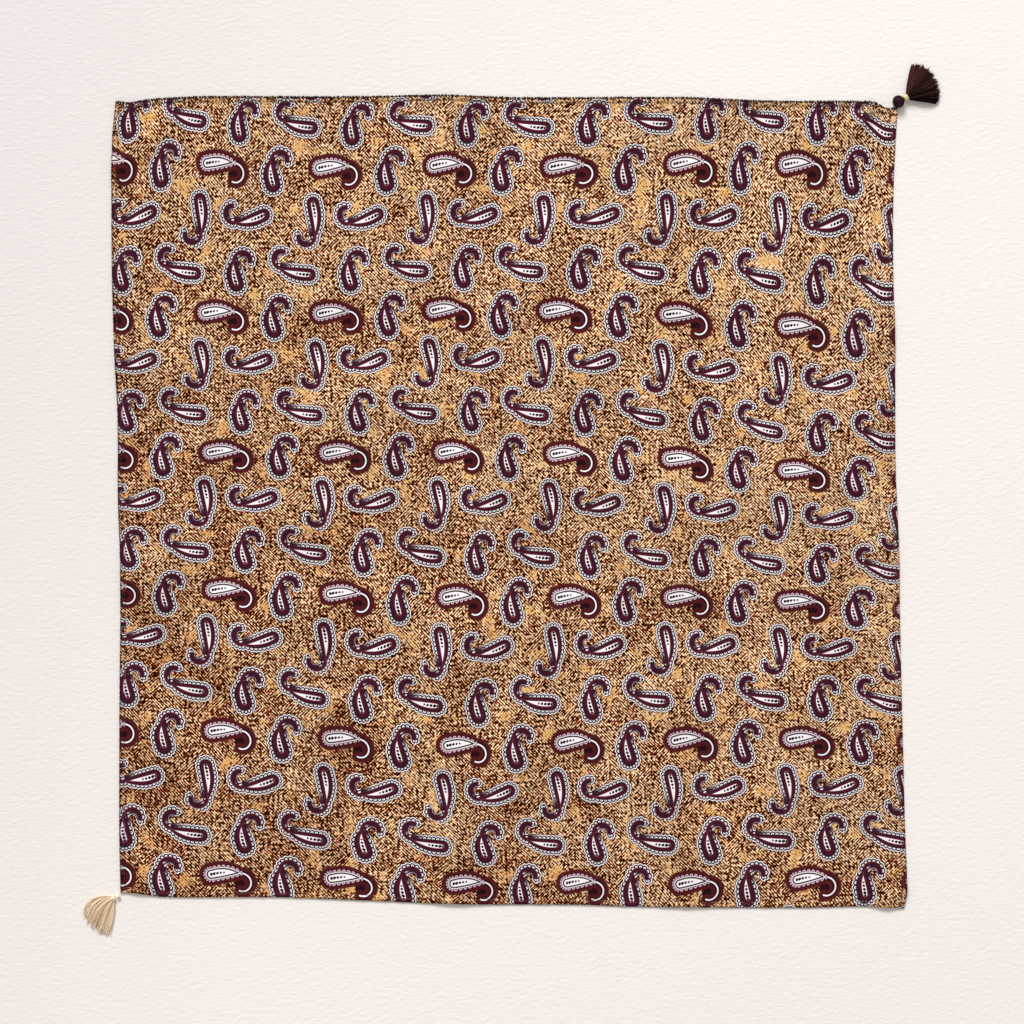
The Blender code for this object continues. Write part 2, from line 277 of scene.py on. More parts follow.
def row_curve(rows, place):
    """Value at a place on the smooth curve through rows of (place, value)."""
    last = len(rows) - 1
    step = next(i for i in range(last) if place <= rows[i + 1][0] or i == last - 1)

    def slope(i):
        before, after = rows[max(i - 1, 0)], rows[min(i + 1, last)]
        return (after[1] - before[1]) / (after[0] - before[0])

    (start, low), (end, high) = rows[step], rows[step + 1]
    span = end - start
    t = min(max((place - start) / span, 0.0), 1.0)
    return (
        (2 * t**3 - 3 * t**2 + 1) * low
        + (t**3 - 2 * t**2 + t) * span * slope(step)
        + (3 * t**2 - 2 * t**3) * high
        + (t**3 - t**2) * span * slope(step + 1)
    )


def corner(name):
    x, y = CORNERS_MM[name]
    return Vector((x, y)) * MM


SIDES = {
    # side: first corner, last corner, outward direction
    "top": ("top_left", "top_right", Vector((0, 1))),
    "right": ("top_right", "bottom_right", Vector((1, 0))),
    "bottom": ("bottom_left", "bottom_right", Vector((0, -1))),
    "left": ("top_left", "bottom_left", Vector((-1, 0))),
}


def side_point(side, share):
    first, last, outward = SIDES[side]
    bow = row_curve(SIDE_BOWS_MM[side], share) * MM
    return corner(first).lerp(corner(last), share) + outward * bow


def laid_point(across, down):
    """Where a point of the cut cloth lies: across from the left side, down from the top side."""
    s = across / CLOTH_WIDTH
    t = down / CLOTH_LENGTH
    between_rows = side_point("top", s).lerp(side_point("bottom", s), t)
    between_columns = side_point("left", t).lerp(side_point("right", t), s)
    upper = corner("top_left").lerp(corner("top_right"), s)
    lower = corner("bottom_left").lerp(corner("bottom_right"), s)
    return between_rows + between_columns - upper.lerp(lower, t)


def ridge_height(point, x0, y0, x1, y1, reach, height):
    """Height of one soft ridge, a raised cosine across its crest line, at a point in mm."""
    start = Vector((x0, y0))
    crest = Vector((x1, y1)) - start
    along = min(max((point - start).dot(crest) / crest.length_squared, 0.0), 1.0)
    distance = (point - start - crest * along).length
    if distance >= reach:
        return 0.0
    return height * 0.5 * (1 + math.cos(math.pi * distance / reach))


def relief(point):
    """How far the cloth's underside stands off the table at a laid point."""
    point_mm = point / MM
    folds = max(ridge_height(point_mm, *row[1:]) for row in FOLDS_MM)
    creases = sum(ridge_height(point_mm, *row[1:]) for row in CREASES_MM)
    return (folds + creases) * MM


def cloth_point(across, down, above=0.0):
    flat = laid_point(across, down)
    return Vector((flat.x, flat.y, relief(flat) + above))


def hem_place(side, along, inset):
    """The cut-cloth place of a point on a hem: along its side, and in from its folded edge."""
    places = {
        "top": (along, inset),
        "bottom": (along, CLOTH_LENGTH - inset),
        "left": (inset, along),
        "right": (CLOTH_WIDTH - inset, along),
    }
    return places[side]


def side_run(side):
    return CLOTH_WIDTH if side in ("top", "bottom") else CLOTH_LENGTH


def print_place(across, down):
    """Where a point of the cut cloth falls on the print, in mm: x to the right, y up."""
    across_mm, down_mm = across / MM, down / MM
    shift_across = shift_down = 0.0
    for tug_across, tug_down, full_across, full_down, reach in PRINT_TUGS_MM:
        distance_squared = (across_mm - tug_across) ** 2 + (down_mm - tug_down) ** 2
        share = math.exp(-distance_squared / reach**2)
        shift_across += full_across * share
        shift_down += full_down * share
    return (across_mm + shift_across, -down_mm - shift_down)


# ---- wiring of the materials ----

def paint(red, green, blue):
    """A colour from its red, green and blue out of 255, as a shader takes it."""
    values = [part / 255 for part in (red, green, blue)]
    return (*[v / 12.92 if v <= 0.04045 else ((v + 0.055) / 1.055) ** 2.4 for v in values], 1.0)


class Wiring:
    """Adds nodes to one tree, each fed by sockets or plain values, and hands back its output."""

    def __init__(self, tree):
        self.tree = tree

    def node(self, kind, inputs=None, **settings):
        made = self.tree.nodes.new("ShaderNode" + kind)
        for name, value in settings.items():
            setattr(made, name, value)
        self.feed_all(made.inputs, inputs or {})
        return made

    def feed(self, socket, value):
        if isinstance(value, bpy.types.NodeSocket):
            self.tree.links.new(value, socket)
        else:
            socket.default_value = value

    def feed_all(self, sockets, named):
        for name, value in named.items():
            self.feed(sockets[name], value)

    def math(self, operation, *values, clamp=False):
        made = self.node("Math", dict(enumerate(values)), operation=operation, use_clamp=clamp)
        return made.outputs[0]

    def vector(self, operation, *values):
        made = self.node("VectorMath", dict(enumerate(values)), operation=operation)
        wanted = "Value" if operation in ("LENGTH", "DISTANCE", "DOT_PRODUCT") else "Vector"
        return made.outputs[wanted]

    def parts(self, vector):
        made = self.node("SeparateXYZ", {0: vector})
        return made.outputs[0], made.outputs[1]

    def joined(self, x, y):
        return self.node("CombineXYZ", {0: x, 1: y}).outputs[0]

    def blend(self, share, first, second):
        """A colour part of the way from first to second."""
        made = self.node("Mix", {0: share, 6: first, 7: second}, data_type="RGBA")
        return made.outputs[2]

    def inked(self, colour, layers):
        """A colour with inks laid over it in turn, each where its own mask says."""
        for mask, ink in layers:
            colour = self.blend(mask, colour, ink)
        return colour

    def between(self, share, first, second):
        """A number part of the way from first to second."""
        return self.node("Mix", {0: share, 2: first, 3: second}).outputs[0]

    def ramp(self, value, low, high):
        """0 below low, 1 above high, and smooth between; the other way round if high is less."""
        inputs = {"Value": value, "From Min": low, "From Max": high}
        return self.node("MapRange", inputs, interpolation_type="SMOOTHSTEP").outputs[0]

    def noise(self, vector, scale, detail=2.0):
        inputs = {"Vector": vector, "Scale": scale, "Detail": detail}
        return self.node("TexNoise", inputs, noise_dimensions="2D").outputs["Fac"]

    def swing(self, vector, scale, detail, strength):
        """Noise that swings about 0."""
        about_zero = self.math("SUBTRACT", self.noise(vector, scale, detail), 0.5)
        return self.math("MULTIPLY", about_zero, strength)

    def turned(self, vector, angle):
        """A vector turned to the left in the plane of the cloth."""
        made = self.node("VectorRotate", {"Vector": vector, "Angle": angle},
                         rotation_type="Z_AXIS")
        return made.outputs[0]

    def placed(self, group, named):
        """The outputs of a group, placed with its named inputs fed."""
        made = self.tree.nodes.new("ShaderNodeGroup")
        made.node_tree = group
        self.feed_all(made.inputs, named)
        return made.outputs


KINDS = {"vector": "NodeSocketVector", "number": "NodeSocketFloat", "colour": "NodeSocketColor"}


def new_group(name, inputs, outputs):
    """An empty shader group with its sockets: its wiring, its input sockets and its output node."""
    tree = bpy.data.node_groups.new(name, "ShaderNodeTree")
    for direction, sockets in (("INPUT", inputs), ("OUTPUT", outputs)):
        for label, kind in sockets.items():
            tree.interface.new_socket(label, in_out=direction, socket_type=KINDS[kind])
    given = tree.nodes.new("NodeGroupInput").outputs
    result = tree.nodes.new("NodeGroupOutput").inputs
    return Wiring(tree), given, result


# ---- the print ----

TURN = 2 * math.pi

# The paisley's form, in mm unless a name says share. The middle is that of the whole motif, from
# the middle of its head, and the reach is half its breadth and length there.
PAISLEY_MIDDLE_X = 2.5
PAISLEY_MIDDLE_SHARE = 0.45
PAISLEY_REACH = (11.0, 17.0, 1.0)
BODY_SWELL_SHARE = 0.25
BODY_TAPER_SHARE = 0.75
SPINE_BEND = 2.2
SPINE_BEND_AT = 0.72
CURL_RADIUS = 7.1
CURL_TIGHTENING = 0.70
CURL_END = 3.4
CURL_CENTRE_X = CURL_RADIUS + SPINE_BEND * (((1 - SPINE_BEND_AT) / SPINE_BEND_AT) ** 2 - 1)
TAIL_WIDTH = 4.1
TAIL_THINNING = 0.28
# Distance along the tail's spine for each radian round the curl.
CURL_RUN = 5.5
# Where the hollow side starts and is full: inside the spine of the tail, in radians round the
# curl, and as shares of the body's length at the neck.
HOLLOW_SIDE = (-0.3, 0.5)
HOLLOW_ANGLES = (0.3, 1.2)
NECK_SHARES = (0.55, 0.95)
SCALLOPS_PER_QUARTER = 4
SCALLOP_DEPTH = 3.4
# Arches in the scallops: depth of their middles, their radius and half their line's width.
PALE_ARCHES = (2.5, 0.62, 0.32)
MAROON_ARCHES = (3.5, 0.75, 0.34)
# The pale heart: how far behind the middle of the head it starts, how much of the body's length it
# takes, and its width.
HEART_START = 2.4
HEART_SHARE = 0.84
HEART_WIDTH = 4.3
PALE_DOTS = {"start": 1.9, "pitch": 2.3, "size": 1.15, "thinning": 0.05, "last": 8.6}
MAROON_DOTS = {"start": 1.4, "pitch": 2.1, "size": 1.1, "thinning": 0.06, "last": 9.4}


FORM_OUTPUTS = dict.fromkeys(
    ("Depth", "Rim", "Along", "Across", "Width", "Tail", "Hollow", "From Curl"), "number")
FORM_INPUTS = {**FORM_OUTPUTS, "Length": "number", "Head Radius": "number", "Ground": "colour"}


def paisley_place_group():
    """Where a point lies in the nearest repeat of one paisley, and how near that one is."""
    wiring, given, result = new_group(
        "paisley_place",
        {"Print": "vector", "Head": "vector", "Turn": "number", "Length": "number"},
        {"Local": "vector", "Nearness": "number"},
    )
    half = (PRINT_REPEAT_MM[0] / 2, PRINT_REPEAT_MM[1] / 2, 1.0)
    # The repeat is centred on the paisley's middle, so that its curl isn't cut off.
    middle_y = wiring.math("MULTIPLY", given["Length"], PAISLEY_MIDDLE_SHARE)
    middle = wiring.joined(PAISLEY_MIDDLE_X, middle_y)
    centre = wiring.vector("ADD", given["Head"], wiring.turned(middle, given["Turn"]))
    from_centre = wiring.vector("SUBTRACT", given["Print"], centre)
    wrapped = wiring.vector("WRAP", from_centre, half, tuple(-x for x in half))
    upright = wiring.turned(wrapped, wiring.math("MULTIPLY", given["Turn"], -1.0))
    wiring.feed_all(result, {
        "Local": wiring.vector("ADD", upright, middle),
        "Nearness": wiring.vector("LENGTH", wiring.vector("DIVIDE", upright, PAISLEY_REACH)),
    })
    return wiring.tree


def paisley_form_group():
    """The paisley's outline: a bent drop on its head, with a tail that curls over to the right.

    Depth is how far inside the outline a point lies, Rim runs along the outline, Along runs along
    the spine, Across is the distance from the spine and Width is half the width there. Tail is 1
    in the tail and 0 in the body, Hollow is 1 on the hollow side of the neck and the tail, and
    From Curl is the distance from the middle of the curl.
    """
    wiring, given, result = new_group(
        "paisley_form",
        {"Local": "vector", "Length": "number", "Head Radius": "number"},
        FORM_OUTPUTS,
    )
    m = wiring.math
    x, y = wiring.parts(given["Local"])
    length, head = given["Length"], given["Head Radius"]

    share = m("DIVIDE", y, length, clamp=True)
    from_bend = m("DIVIDE", m("SUBTRACT", share, SPINE_BEND_AT), SPINE_BEND_AT)
    spine_x = m("MULTIPLY_ADD", m("MULTIPLY", from_bend, from_bend), SPINE_BEND, -SPINE_BEND)
    swell = m("MULTIPLY_ADD", share, -BODY_TAPER_SHARE, BODY_SWELL_SHARE)
    swell = m("MULTIPLY_ADD", swell, share, 1.0)
    body_width = m("MULTIPLY", head, swell)
    off_x = m("SUBTRACT", x, spine_x)
    off_y = m("SUBTRACT", y, m("MULTIPLY", share, length))
    body_across = wiring.vector("LENGTH", wiring.joined(off_x, off_y))
    body_depth = m("SUBTRACT", body_width, body_across)
    round_head = m("MULTIPLY", head, m("ARCTAN2", m("MULTIPLY", y, -1.0), m("ABSOLUTE", x)))
    body_rim = wiring.between(m("LESS_THAN", y, 0.0), y, m("MULTIPLY", round_head, -1.0))

    from_curl = wiring.vector("SUBTRACT", given["Local"], wiring.joined(CURL_CENTRE_X, length))
    curl_x, curl_y = wiring.parts(from_curl)
    curl_reach = wiring.vector("LENGTH", from_curl)
    angle = m("SUBTRACT", math.pi, m("ARCTAN2", curl_y, curl_x))
    held = m("MINIMUM", angle, CURL_END)
    radius = m("MULTIPLY_ADD", held, -CURL_TIGHTENING, CURL_RADIUS)
    spot = wiring.joined(
        m("MULTIPLY", radius, m("MULTIPLY", m("COSINE", held), -1.0)),
        m("MULTIPLY", radius, m("SINE", held)),
    )
    tail_width = m("MULTIPLY_ADD", held, -TAIL_THINNING, TAIL_WIDTH)
    tail_across = wiring.vector("DISTANCE", from_curl, spot)
    tail_depth = m("SUBTRACT", tail_width, tail_across)
    outwards = m("SIGN", m("SUBTRACT", curl_reach, radius))
    rim_radius = m("MULTIPLY_ADD", outwards, tail_width, radius)
    tail_rim = m("MULTIPLY_ADD", rim_radius, angle, length)
    tail_along = m("MULTIPLY_ADD", held, CURL_RUN, length)

    tail = m("GREATER_THAN", tail_depth, body_depth)
    within = m("SUBTRACT", radius, curl_reach)
    hollow = m("MULTIPLY", wiring.ramp(within, *HOLLOW_SIDE), wiring.ramp(angle, *HOLLOW_ANGLES))
    hollow = m("MULTIPLY", hollow, wiring.ramp(angle, CURL_END + 0.2, CURL_END))
    neck = m("MULTIPLY", wiring.ramp(share, *NECK_SHARES), wiring.ramp(off_x, 0.0, 1.0))
    wiring.feed_all(result, {
        "Depth": m("MAXIMUM", body_depth, tail_depth),
        "Rim": wiring.between(tail, body_rim, tail_rim),
        "Along": wiring.between(tail, y, tail_along),
        "Across": wiring.between(tail, body_across, tail_across),
        "Width": wiring.between(tail, body_width, tail_width),
        "Tail": tail,
        "Hollow": wiring.between(tail, neck, hollow),
        "From Curl": curl_reach,
    })
    return wiring.tree


def scallop(wiring, rim, head):
    """Place within a scallop of the rim, from -0.5 to 0.5, and the length of one scallop."""
    pitch = wiring.math("MULTIPLY", head, math.pi / 2 / SCALLOPS_PER_QUARTER)
    turns = wiring.math("FRACT", wiring.math("DIVIDE", rim, pitch))
    return wiring.math("SUBTRACT", turns, 0.5), pitch


def band(wiring, value, low, high, soft=0.18):
    """1 where a value is between low and high, with soft edges."""
    rising = wiring.ramp(value, low - soft, low + soft)
    falling = wiring.ramp(value, high + soft, high - soft)
    return wiring.math("MULTIPLY", rising, falling)


def arches(wiring, place, pitch, depth, at, radius, line):
    """White arches, one in each scallop, open towards the middle of the paisley."""
    sideways = wiring.math("MULTIPLY", place, pitch)
    inwards = wiring.math("SUBTRACT", depth, at)
    reach = wiring.vector("LENGTH", wiring.joined(sideways, inwards))
    ring = band(wiring, wiring.math("SUBTRACT", reach, radius), -line, line)
    return wiring.math("MULTIPLY", ring, wiring.ramp(inwards, 0.45, 0.05))


def heart_dots(wiring, along, across, start, pitch, size, thinning, last):
    """A row of dots along the heart, from its round end to the last, each smaller than before."""
    m = wiring.math
    step = m("SUBTRACT", m("FRACT", m("DIVIDE", m("ADD", along, start), pitch)), 0.5)
    from_dot = wiring.vector("LENGTH", wiring.joined(m("MULTIPLY", step, pitch), across))
    radius = m("MULTIPLY_ADD", along, -thinning, size)
    dotted = wiring.ramp(m("SUBTRACT", radius, from_dot), -0.12, 0.12)
    return m("MULTIPLY", dotted, wiring.ramp(along, last + 0.4, last))


INK_BLACK = paint(24, 10, 14)
INK_OUTLINE = paint(48, 20, 8)
INK_GAP = paint(44, 18, 26)
INK_PLUM = paint(62, 24, 40)
INK_MAROON_HEART = paint(82, 24, 38)
INK_WHITE = paint(255, 247, 250)
INK_LILAC = paint(190, 164, 182)
INK_PINK = paint(232, 190, 206)
INK_MAROON = paint(82, 28, 30)
INK_DEEP = paint(42, 14, 22)


def pale_paisley_group():
    """A paisley with a scalloped white rim, a plum band and a white heart with black dots.

    Each ramp's two numbers are where a mask starts and where it is full, in mm.
    """
    wiring, given, result = new_group("pale_paisley", FORM_INPUTS, {"Color": "colour"})
    m = wiring.math
    depth, width, along, across = (given[n] for n in ("Depth", "Width", "Along", "Across"))
    hollow = given["Hollow"]
    place, pitch = scallop(wiring, given["Rim"], given["Head Radius"])
    edge = m("SUBTRACT", depth, m("MULTIPLY", m("MULTIPLY", place, place), SCALLOP_DEPTH))
    in_body = m("SUBTRACT", 1.0, given["Tail"])
    open_side = m("SUBTRACT", 1.0, hollow)

    plum_from = m("MINIMUM", 3.6, m("MULTIPLY", width, 0.7))
    plum = wiring.ramp(m("SUBTRACT", depth, plum_from), -0.5, 0.3)
    near_heart = m("MULTIPLY", wiring.ramp(across, 3.6, 2.2), wiring.ramp(along, -5.5, -2.0))
    loops = arches(wiring, place, pitch, depth, *PALE_ARCHES)
    hollow_line = m("MULTIPLY", hollow, band(wiring, depth, 0.1, 0.5))
    hollow_line = m("MULTIPLY", m("MULTIPLY", hollow_line, given["Tail"]), 0.7)
    heart_length = m("MULTIPLY_ADD", given["Length"], HEART_SHARE, HEART_START)
    q = m("DIVIDE", m("ADD", along, HEART_START), heart_length, clamp=True)
    heart_form = m("MULTIPLY", m("SQRT", q), m("SUBTRACT", 1.0, q))
    in_heart = m("SUBTRACT", m("MULTIPLY", heart_form, HEART_WIDTH), across)
    dots = m("MULTIPLY", heart_dots(wiring, along, across, **PALE_DOTS),
             wiring.ramp(in_heart, 0.0, 0.3))
    wiring.feed(result["Color"], wiring.inked(given["Ground"], [
        (wiring.ramp(edge, -0.95, -0.25), INK_OUTLINE),
        (wiring.ramp(edge, 0.45, 0.8), INK_GAP),
        (plum, INK_PLUM),
        (m("MULTIPLY", near_heart, plum), INK_MAROON_HEART),
        (m("MULTIPLY", loops, open_side), INK_WHITE),
        (band(wiring, edge, -0.05, 0.6, 0.14), INK_WHITE),
        (m("MULTIPLY", hollow, wiring.ramp(depth, -0.6, 0.2)), INK_PLUM),
        (hollow_line, INK_LILAC),
        (m("MULTIPLY", wiring.ramp(in_heart, -0.1, 0.15), in_body), INK_PINK),
        (m("MULTIPLY", wiring.ramp(in_heart, 0.05, 0.3), in_body), INK_WHITE),
        (m("MULTIPLY", dots, in_body), INK_BLACK),
    ]))
    return wiring.tree


def maroon_paisley_group():
    """A maroon paisley with a large white heart, whose outline runs on as a line into the curl."""
    wiring, given, result = new_group("maroon_paisley", FORM_INPUTS, {"Color": "colour"})
    m = wiring.math
    depth, along, across = (given[n] for n in ("Depth", "Along", "Across"))
    place, pitch = scallop(wiring, given["Rim"], given["Head Radius"])
    in_body = m("SUBTRACT", 1.0, given["Tail"])
    loops = arches(wiring, place, pitch, depth, *MAROON_ARCHES)
    heart = m("MULTIPLY", wiring.ramp(depth, 5.35, 5.65), in_body)
    dots = heart_dots(wiring, along, across, **MAROON_DOTS)
    wiring.feed(result["Color"], wiring.inked(given["Ground"], [
        (wiring.ramp(given["From Curl"], 5.1, 4.1), INK_DEEP),
        (wiring.ramp(depth, -0.9, 0.2), INK_MAROON),
        (wiring.ramp(depth, 1.7, 2.6), INK_DEEP),
        (m("MULTIPLY", loops, in_body), INK_PINK),
        (m("MULTIPLY", band(wiring, depth, 3.95, 4.5), in_body), INK_WHITE),
        (heart, INK_WHITE),
        (m("MULTIPLY", wiring.ramp(across, 0.62, 0.35), given["Tail"]), INK_WHITE),
        (m("MULTIPLY", dots, heart), INK_BLACK),
    ]))
    return wiring.tree


GROUND_GOLD = paint(232, 186, 118)
GROUND_PEACH = paint(255, 228, 186)
GROUND_RUST = paint(190, 100, 42)
GROUND_RED_BROWN = paint(112, 44, 12)
GROUND_BROWN = paint(42, 8, 0)

# The dashes' pitch in mm, and how strongly each part of the ground's pattern counts.
DASH_PITCH = 1.5
DASH_WAVER = 5.0
LEAN_STRENGTH = 2.5
BREAK_STRENGTH = 9.4
LINEN_STRENGTH = 3.4
PATCH_STRENGTH = 2.2
PLAIN_STRENGTH = -3.2
# Streaks across the cloth and along it: how fast each changes to the right and upwards.
LINEN_STREAKS = [(0.1, 0.62, 1.0), (0.62, 0.1, 1.0)]
# Painted light falloff: the ground grows lighter to the right and upwards, a painted shade towards
# the lower left: for each mm that way, and at the start.
SHADE_FALLOFF_RIGHT, SHADE_FALLOFF_UP, SHADE_FALLOFF_START = -0.0012, -0.0009, 0.12


def heathered_ground_group():
    """The ground: brown dashes that lean both ways on gold, gathered in streaks and patches, with
    painted shade towards the lower left.
    """
    wiring, given, result = new_group("heathered_ground", {"Print": "vector"}, {"Color": "colour"})
    m = wiring.math
    place = given["Print"]
    x, y = wiring.parts(place)
    waver = wiring.swing(place, 0.22, 1.0, DASH_WAVER)
    dash = TURN / (DASH_PITCH * math.sqrt(2))
    leaning_left = m("SINE", m("MULTIPLY_ADD", m("ADD", x, y), dash, waver))
    leaning_right = m("SINE", m("MULTIPLY_ADD", m("SUBTRACT", x, y), dash, waver))
    which = wiring.ramp(wiring.noise(place, 0.07, 1.0), 0.44, 0.68)
    lean = m("MULTIPLY", wiring.between(which, leaning_left, leaning_right), LEAN_STRENGTH)
    broken = wiring.swing(place, 0.6, 0.0, BREAK_STRENGTH)
    linen = m("ADD", *[
        wiring.swing(wiring.vector("MULTIPLY", place, rates), 1.0, 0.0, LINEN_STRENGTH)
        for rates in LINEN_STREAKS
    ])
    # Painted shade: the patches grow darker towards the lower left of the cloth.
    painted_falloff = m("MULTIPLY_ADD", x, SHADE_FALLOFF_RIGHT, m("MULTIPLY_ADD", y, SHADE_FALLOFF_UP, SHADE_FALLOFF_START))
    patches_and_shade = m("ADD", wiring.swing(place, 0.022, 2.0, PATCH_STRENGTH), painted_falloff)
    plain = wiring.ramp(wiring.noise(place, 0.075), 0.46, 0.22)
    marks = m("ADD", m("ADD", lean, broken), m("ADD", linen, patches_and_shade))
    marks = m("MULTIPLY_ADD", plain, PLAIN_STRENGTH, m("ADD", marks, 0.1))
    faded = wiring.ramp(wiring.noise(place, 0.4), 0.5, 0.75)
    rust = m("MAXIMUM", wiring.ramp(marks, -2.5, -0.2), m("MULTIPLY", faded, 0.35))
    wiring.feed(result["Color"], wiring.inked(GROUND_PEACH, [
        (plain, GROUND_GOLD),
        (wiring.ramp(patches_and_shade, -0.2, 3.0), GROUND_RUST),
        (rust, GROUND_RUST),
        (wiring.ramp(marks, -0.3, 0.2), wiring.blend(faded, GROUND_BROWN, GROUND_RED_BROWN)),
    ]))
    return wiring.tree


def scarf_print_group():
    """The whole print at a place on the cloth."""
    wiring, given, result = new_group("scarf_print", {"Print": "vector"}, {"Color": "colour"})
    m = wiring.math
    place_group, form_group = paisley_place_group(), paisley_form_group()
    ground = wiring.placed(heathered_ground_group(), {"Print": given["Print"]})["Color"]

    for number, row in enumerate(PAISLEYS + [MAROON_PAISLEY]):
        across, down, turn, own_length, own_head = row
        found = wiring.placed(place_group, {
            "Print": given["Print"],
            "Head": (across, -down, 0.0),
            "Turn": math.radians(turn),
            "Length": own_length,
        })
        if number == 0:
            local, nearness = found["Local"], found["Nearness"]
            length, head = own_length, own_head
            continue
        nearer = m("LESS_THAN", found["Nearness"], nearness)
        nearness = m("MINIMUM", found["Nearness"], nearness)
        local = wiring.node("Mix", {0: nearer, 4: local, 5: found["Local"]},
                            data_type="VECTOR").outputs[1]
        length = wiring.between(nearer, length, own_length)
        head = wiring.between(nearer, head, own_head)
    # The maroon paisley comes last in the list, so that the last choice is whether it is nearest.
    maroon = nearer

    form = wiring.placed(form_group, {"Local": local, "Length": length, "Head Radius": head})
    fed = {name: form[name] for name in form.keys()}
    fed.update({"Length": length, "Head Radius": head, "Ground": ground})
    pale = wiring.placed(pale_paisley_group(), fed)["Color"]
    dark = wiring.placed(maroon_paisley_group(), fed)["Color"]
    wiring.feed(result["Color"], wiring.blend(maroon, pale, dark))
    return wiring.tree


def plain_weave_group():
    """Fine over-and-under threads: a height for the bump and a slight change of tone."""
    wiring, given, result = new_group(
        "plain_weave", {"Print": "vector", "Threads per mm": "number"},
        {"Height": "number", "Tone": "number"},
    )
    m = wiring.math
    x, y = wiring.parts(given["Print"])
    rate = m("MULTIPLY", given["Threads per mm"], math.pi)
    warp = m("SINE", m("MULTIPLY", x, rate))
    weft = m("SINE", m("MULTIPLY", y, rate))
    slub = wiring.noise(given["Print"], 0.6)
    wiring.feed_all(result, {
        "Height": m("MULTIPLY_ADD", m("MULTIPLY", warp, weft), 0.5, slub),
        "Tone": wiring.ramp(wiring.noise(given["Print"], 0.02), 0.3, 0.7),
    })
    return wiring.tree


# ---- materials ----

CLOTH_THREADS_PER_MM = 2.6
WRONG_SIDE_TONE = paint(206, 176, 136)
WRONG_SIDE_SHARE = 0.55
# The darker fold of a hem: partly painted shade along the rolled edge, partly the edge's own darker
# tone.
FOLD_SHADE_TONE = paint(50, 22, 12)
FOLD_SHADE_SHARE = 0.75

THREADS = {
    # name: dark tone, light tone, roughness, sheen, how far the tips fade to the light tone
    "dark_whip": (paint(20, 12, 8), paint(58, 38, 26), 0.75, 0.0, 0.0),
    "brown_whip": (paint(84, 52, 34), paint(150, 108, 80), 0.7, 0.0, 0.0),
    "dark_fringe_thread": (paint(4, 0, 2), paint(86, 46, 36), 0.6, 0.0, 0.1),
    "bead_cord": (paint(16, 2, 8), paint(64, 26, 36), 0.45, 0.0, 0.0),
    "gold_binding_thread": (paint(168, 150, 84), paint(238, 226, 168), 0.45, 0.05, 0.0),
    "natural_fringe_thread": (paint(206, 166, 124), paint(255, 241, 214), 0.7, 0.05, 0.4),
}


def new_material(name):
    material = bpy.data.materials.new(name)
    material.use_nodes = True
    wiring = Wiring(material.node_tree)
    return material, wiring, material.node_tree.nodes["Principled BSDF"]


def cloth_material(name, print_group, weave_group):
    """Printed cloth. The fold attribute darkens a hem's fold, partly as painted shade and partly as
    the edge's own tone; the wrong side is a paler ghost.
    """
    material, wiring, shader = new_material(name)
    place = wiring.node("UVMap", uv_map="print").outputs[0]
    printed = wiring.placed(print_group, {"Print": place})["Color"]
    weave = wiring.placed(weave_group, {"Print": place, "Threads per mm": CLOTH_THREADS_PER_MM})
    wrong = wiring.node("Attribute", attribute_name="wrong_side").outputs["Fac"]
    fold = wiring.node("Attribute", attribute_name="fold").outputs["Fac"]
    colour = wiring.inked(printed, [
        (wiring.math("MULTIPLY", wrong, WRONG_SIDE_SHARE), WRONG_SIDE_TONE),
        (wiring.math("MULTIPLY", fold, FOLD_SHADE_SHARE), FOLD_SHADE_TONE),
    ])
    toned = wiring.node("HueSaturation", {
        "Color": colour,
        "Value": wiring.math("MULTIPLY_ADD", weave["Tone"], 0.14, 0.9),
    }).outputs[0]
    wiring.feed(shader.inputs["Base Color"], toned)
    shader.inputs["Roughness"].default_value = 0.7
    shader.inputs["Specular IOR Level"].default_value = 0.03
    bump = wiring.node("Bump", {"Height": weave["Height"], "Distance": 0.00005, "Strength": 0.5})
    wiring.feed(shader.inputs["Normal"], bump.outputs[0])
    return material


def thread_material(name, dark, light, roughness, sheen, fading):
    """Spun thread: each strand has its own tone, with fine fibres all over it; on a tassel's skirt
    that tone also holds painted light, lighter towards one edge of the fan.
    """
    material, wiring, shader = new_material(name)
    m = wiring.math
    strand = wiring.node("Attribute", attribute_name="strand").outputs["Fac"]
    along = wiring.node("Attribute", attribute_name="along").outputs["Fac"]
    place = wiring.node("TexCoord").outputs["Object"]
    speckle = wiring.node("TexNoise", {"Vector": place, "Scale": 1800.0, "Detail": 2.0})
    fibre = speckle.outputs["Fac"]
    tone = m("MULTIPLY", strand, m("MULTIPLY_ADD", fibre, 0.8, 0.6), clamp=True)
    at_tips = m("MULTIPLY", wiring.ramp(along, 0.75, 1.0), fading)
    colour = wiring.inked(dark, [(tone, light), (at_tips, light)])
    wiring.feed(shader.inputs["Base Color"], colour)
    rough = wiring.between(fibre, roughness - 0.1, roughness + 0.1)
    wiring.feed(shader.inputs["Roughness"], rough)
    shader.inputs["Sheen Weight"].default_value = sheen
    shader.inputs["Specular IOR Level"].default_value = 0.1
    bump = wiring.node("Bump", {"Height": fibre, "Distance": 0.00008, "Strength": 0.4})
    wiring.feed(shader.inputs["Normal"], bump.outputs[0])
    return material


# ---- pieces ----

def finish_piece(piece, node):
    """A finished piece rides on the scarf's one body, stands for its CAD node and has a finish."""
    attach(piece, "root")
    if node:
        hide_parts(node)
    return piece


def set_attribute(mesh, name, values):
    attribute = mesh.attributes.new(name, "FLOAT", "POINT")
    attribute.data.foreach_set("value", values)


def set_print_map(mesh, places):
    """Gives every face corner its vertex's place on the print."""
    layer = mesh.uv_layers.get("UVMap") or mesh.uv_layers.new(name="UVMap")
    layer.name = "print"
    for loop in mesh.loops:
        layer.uv[loop.index].vector = places[loop.vertex_index]


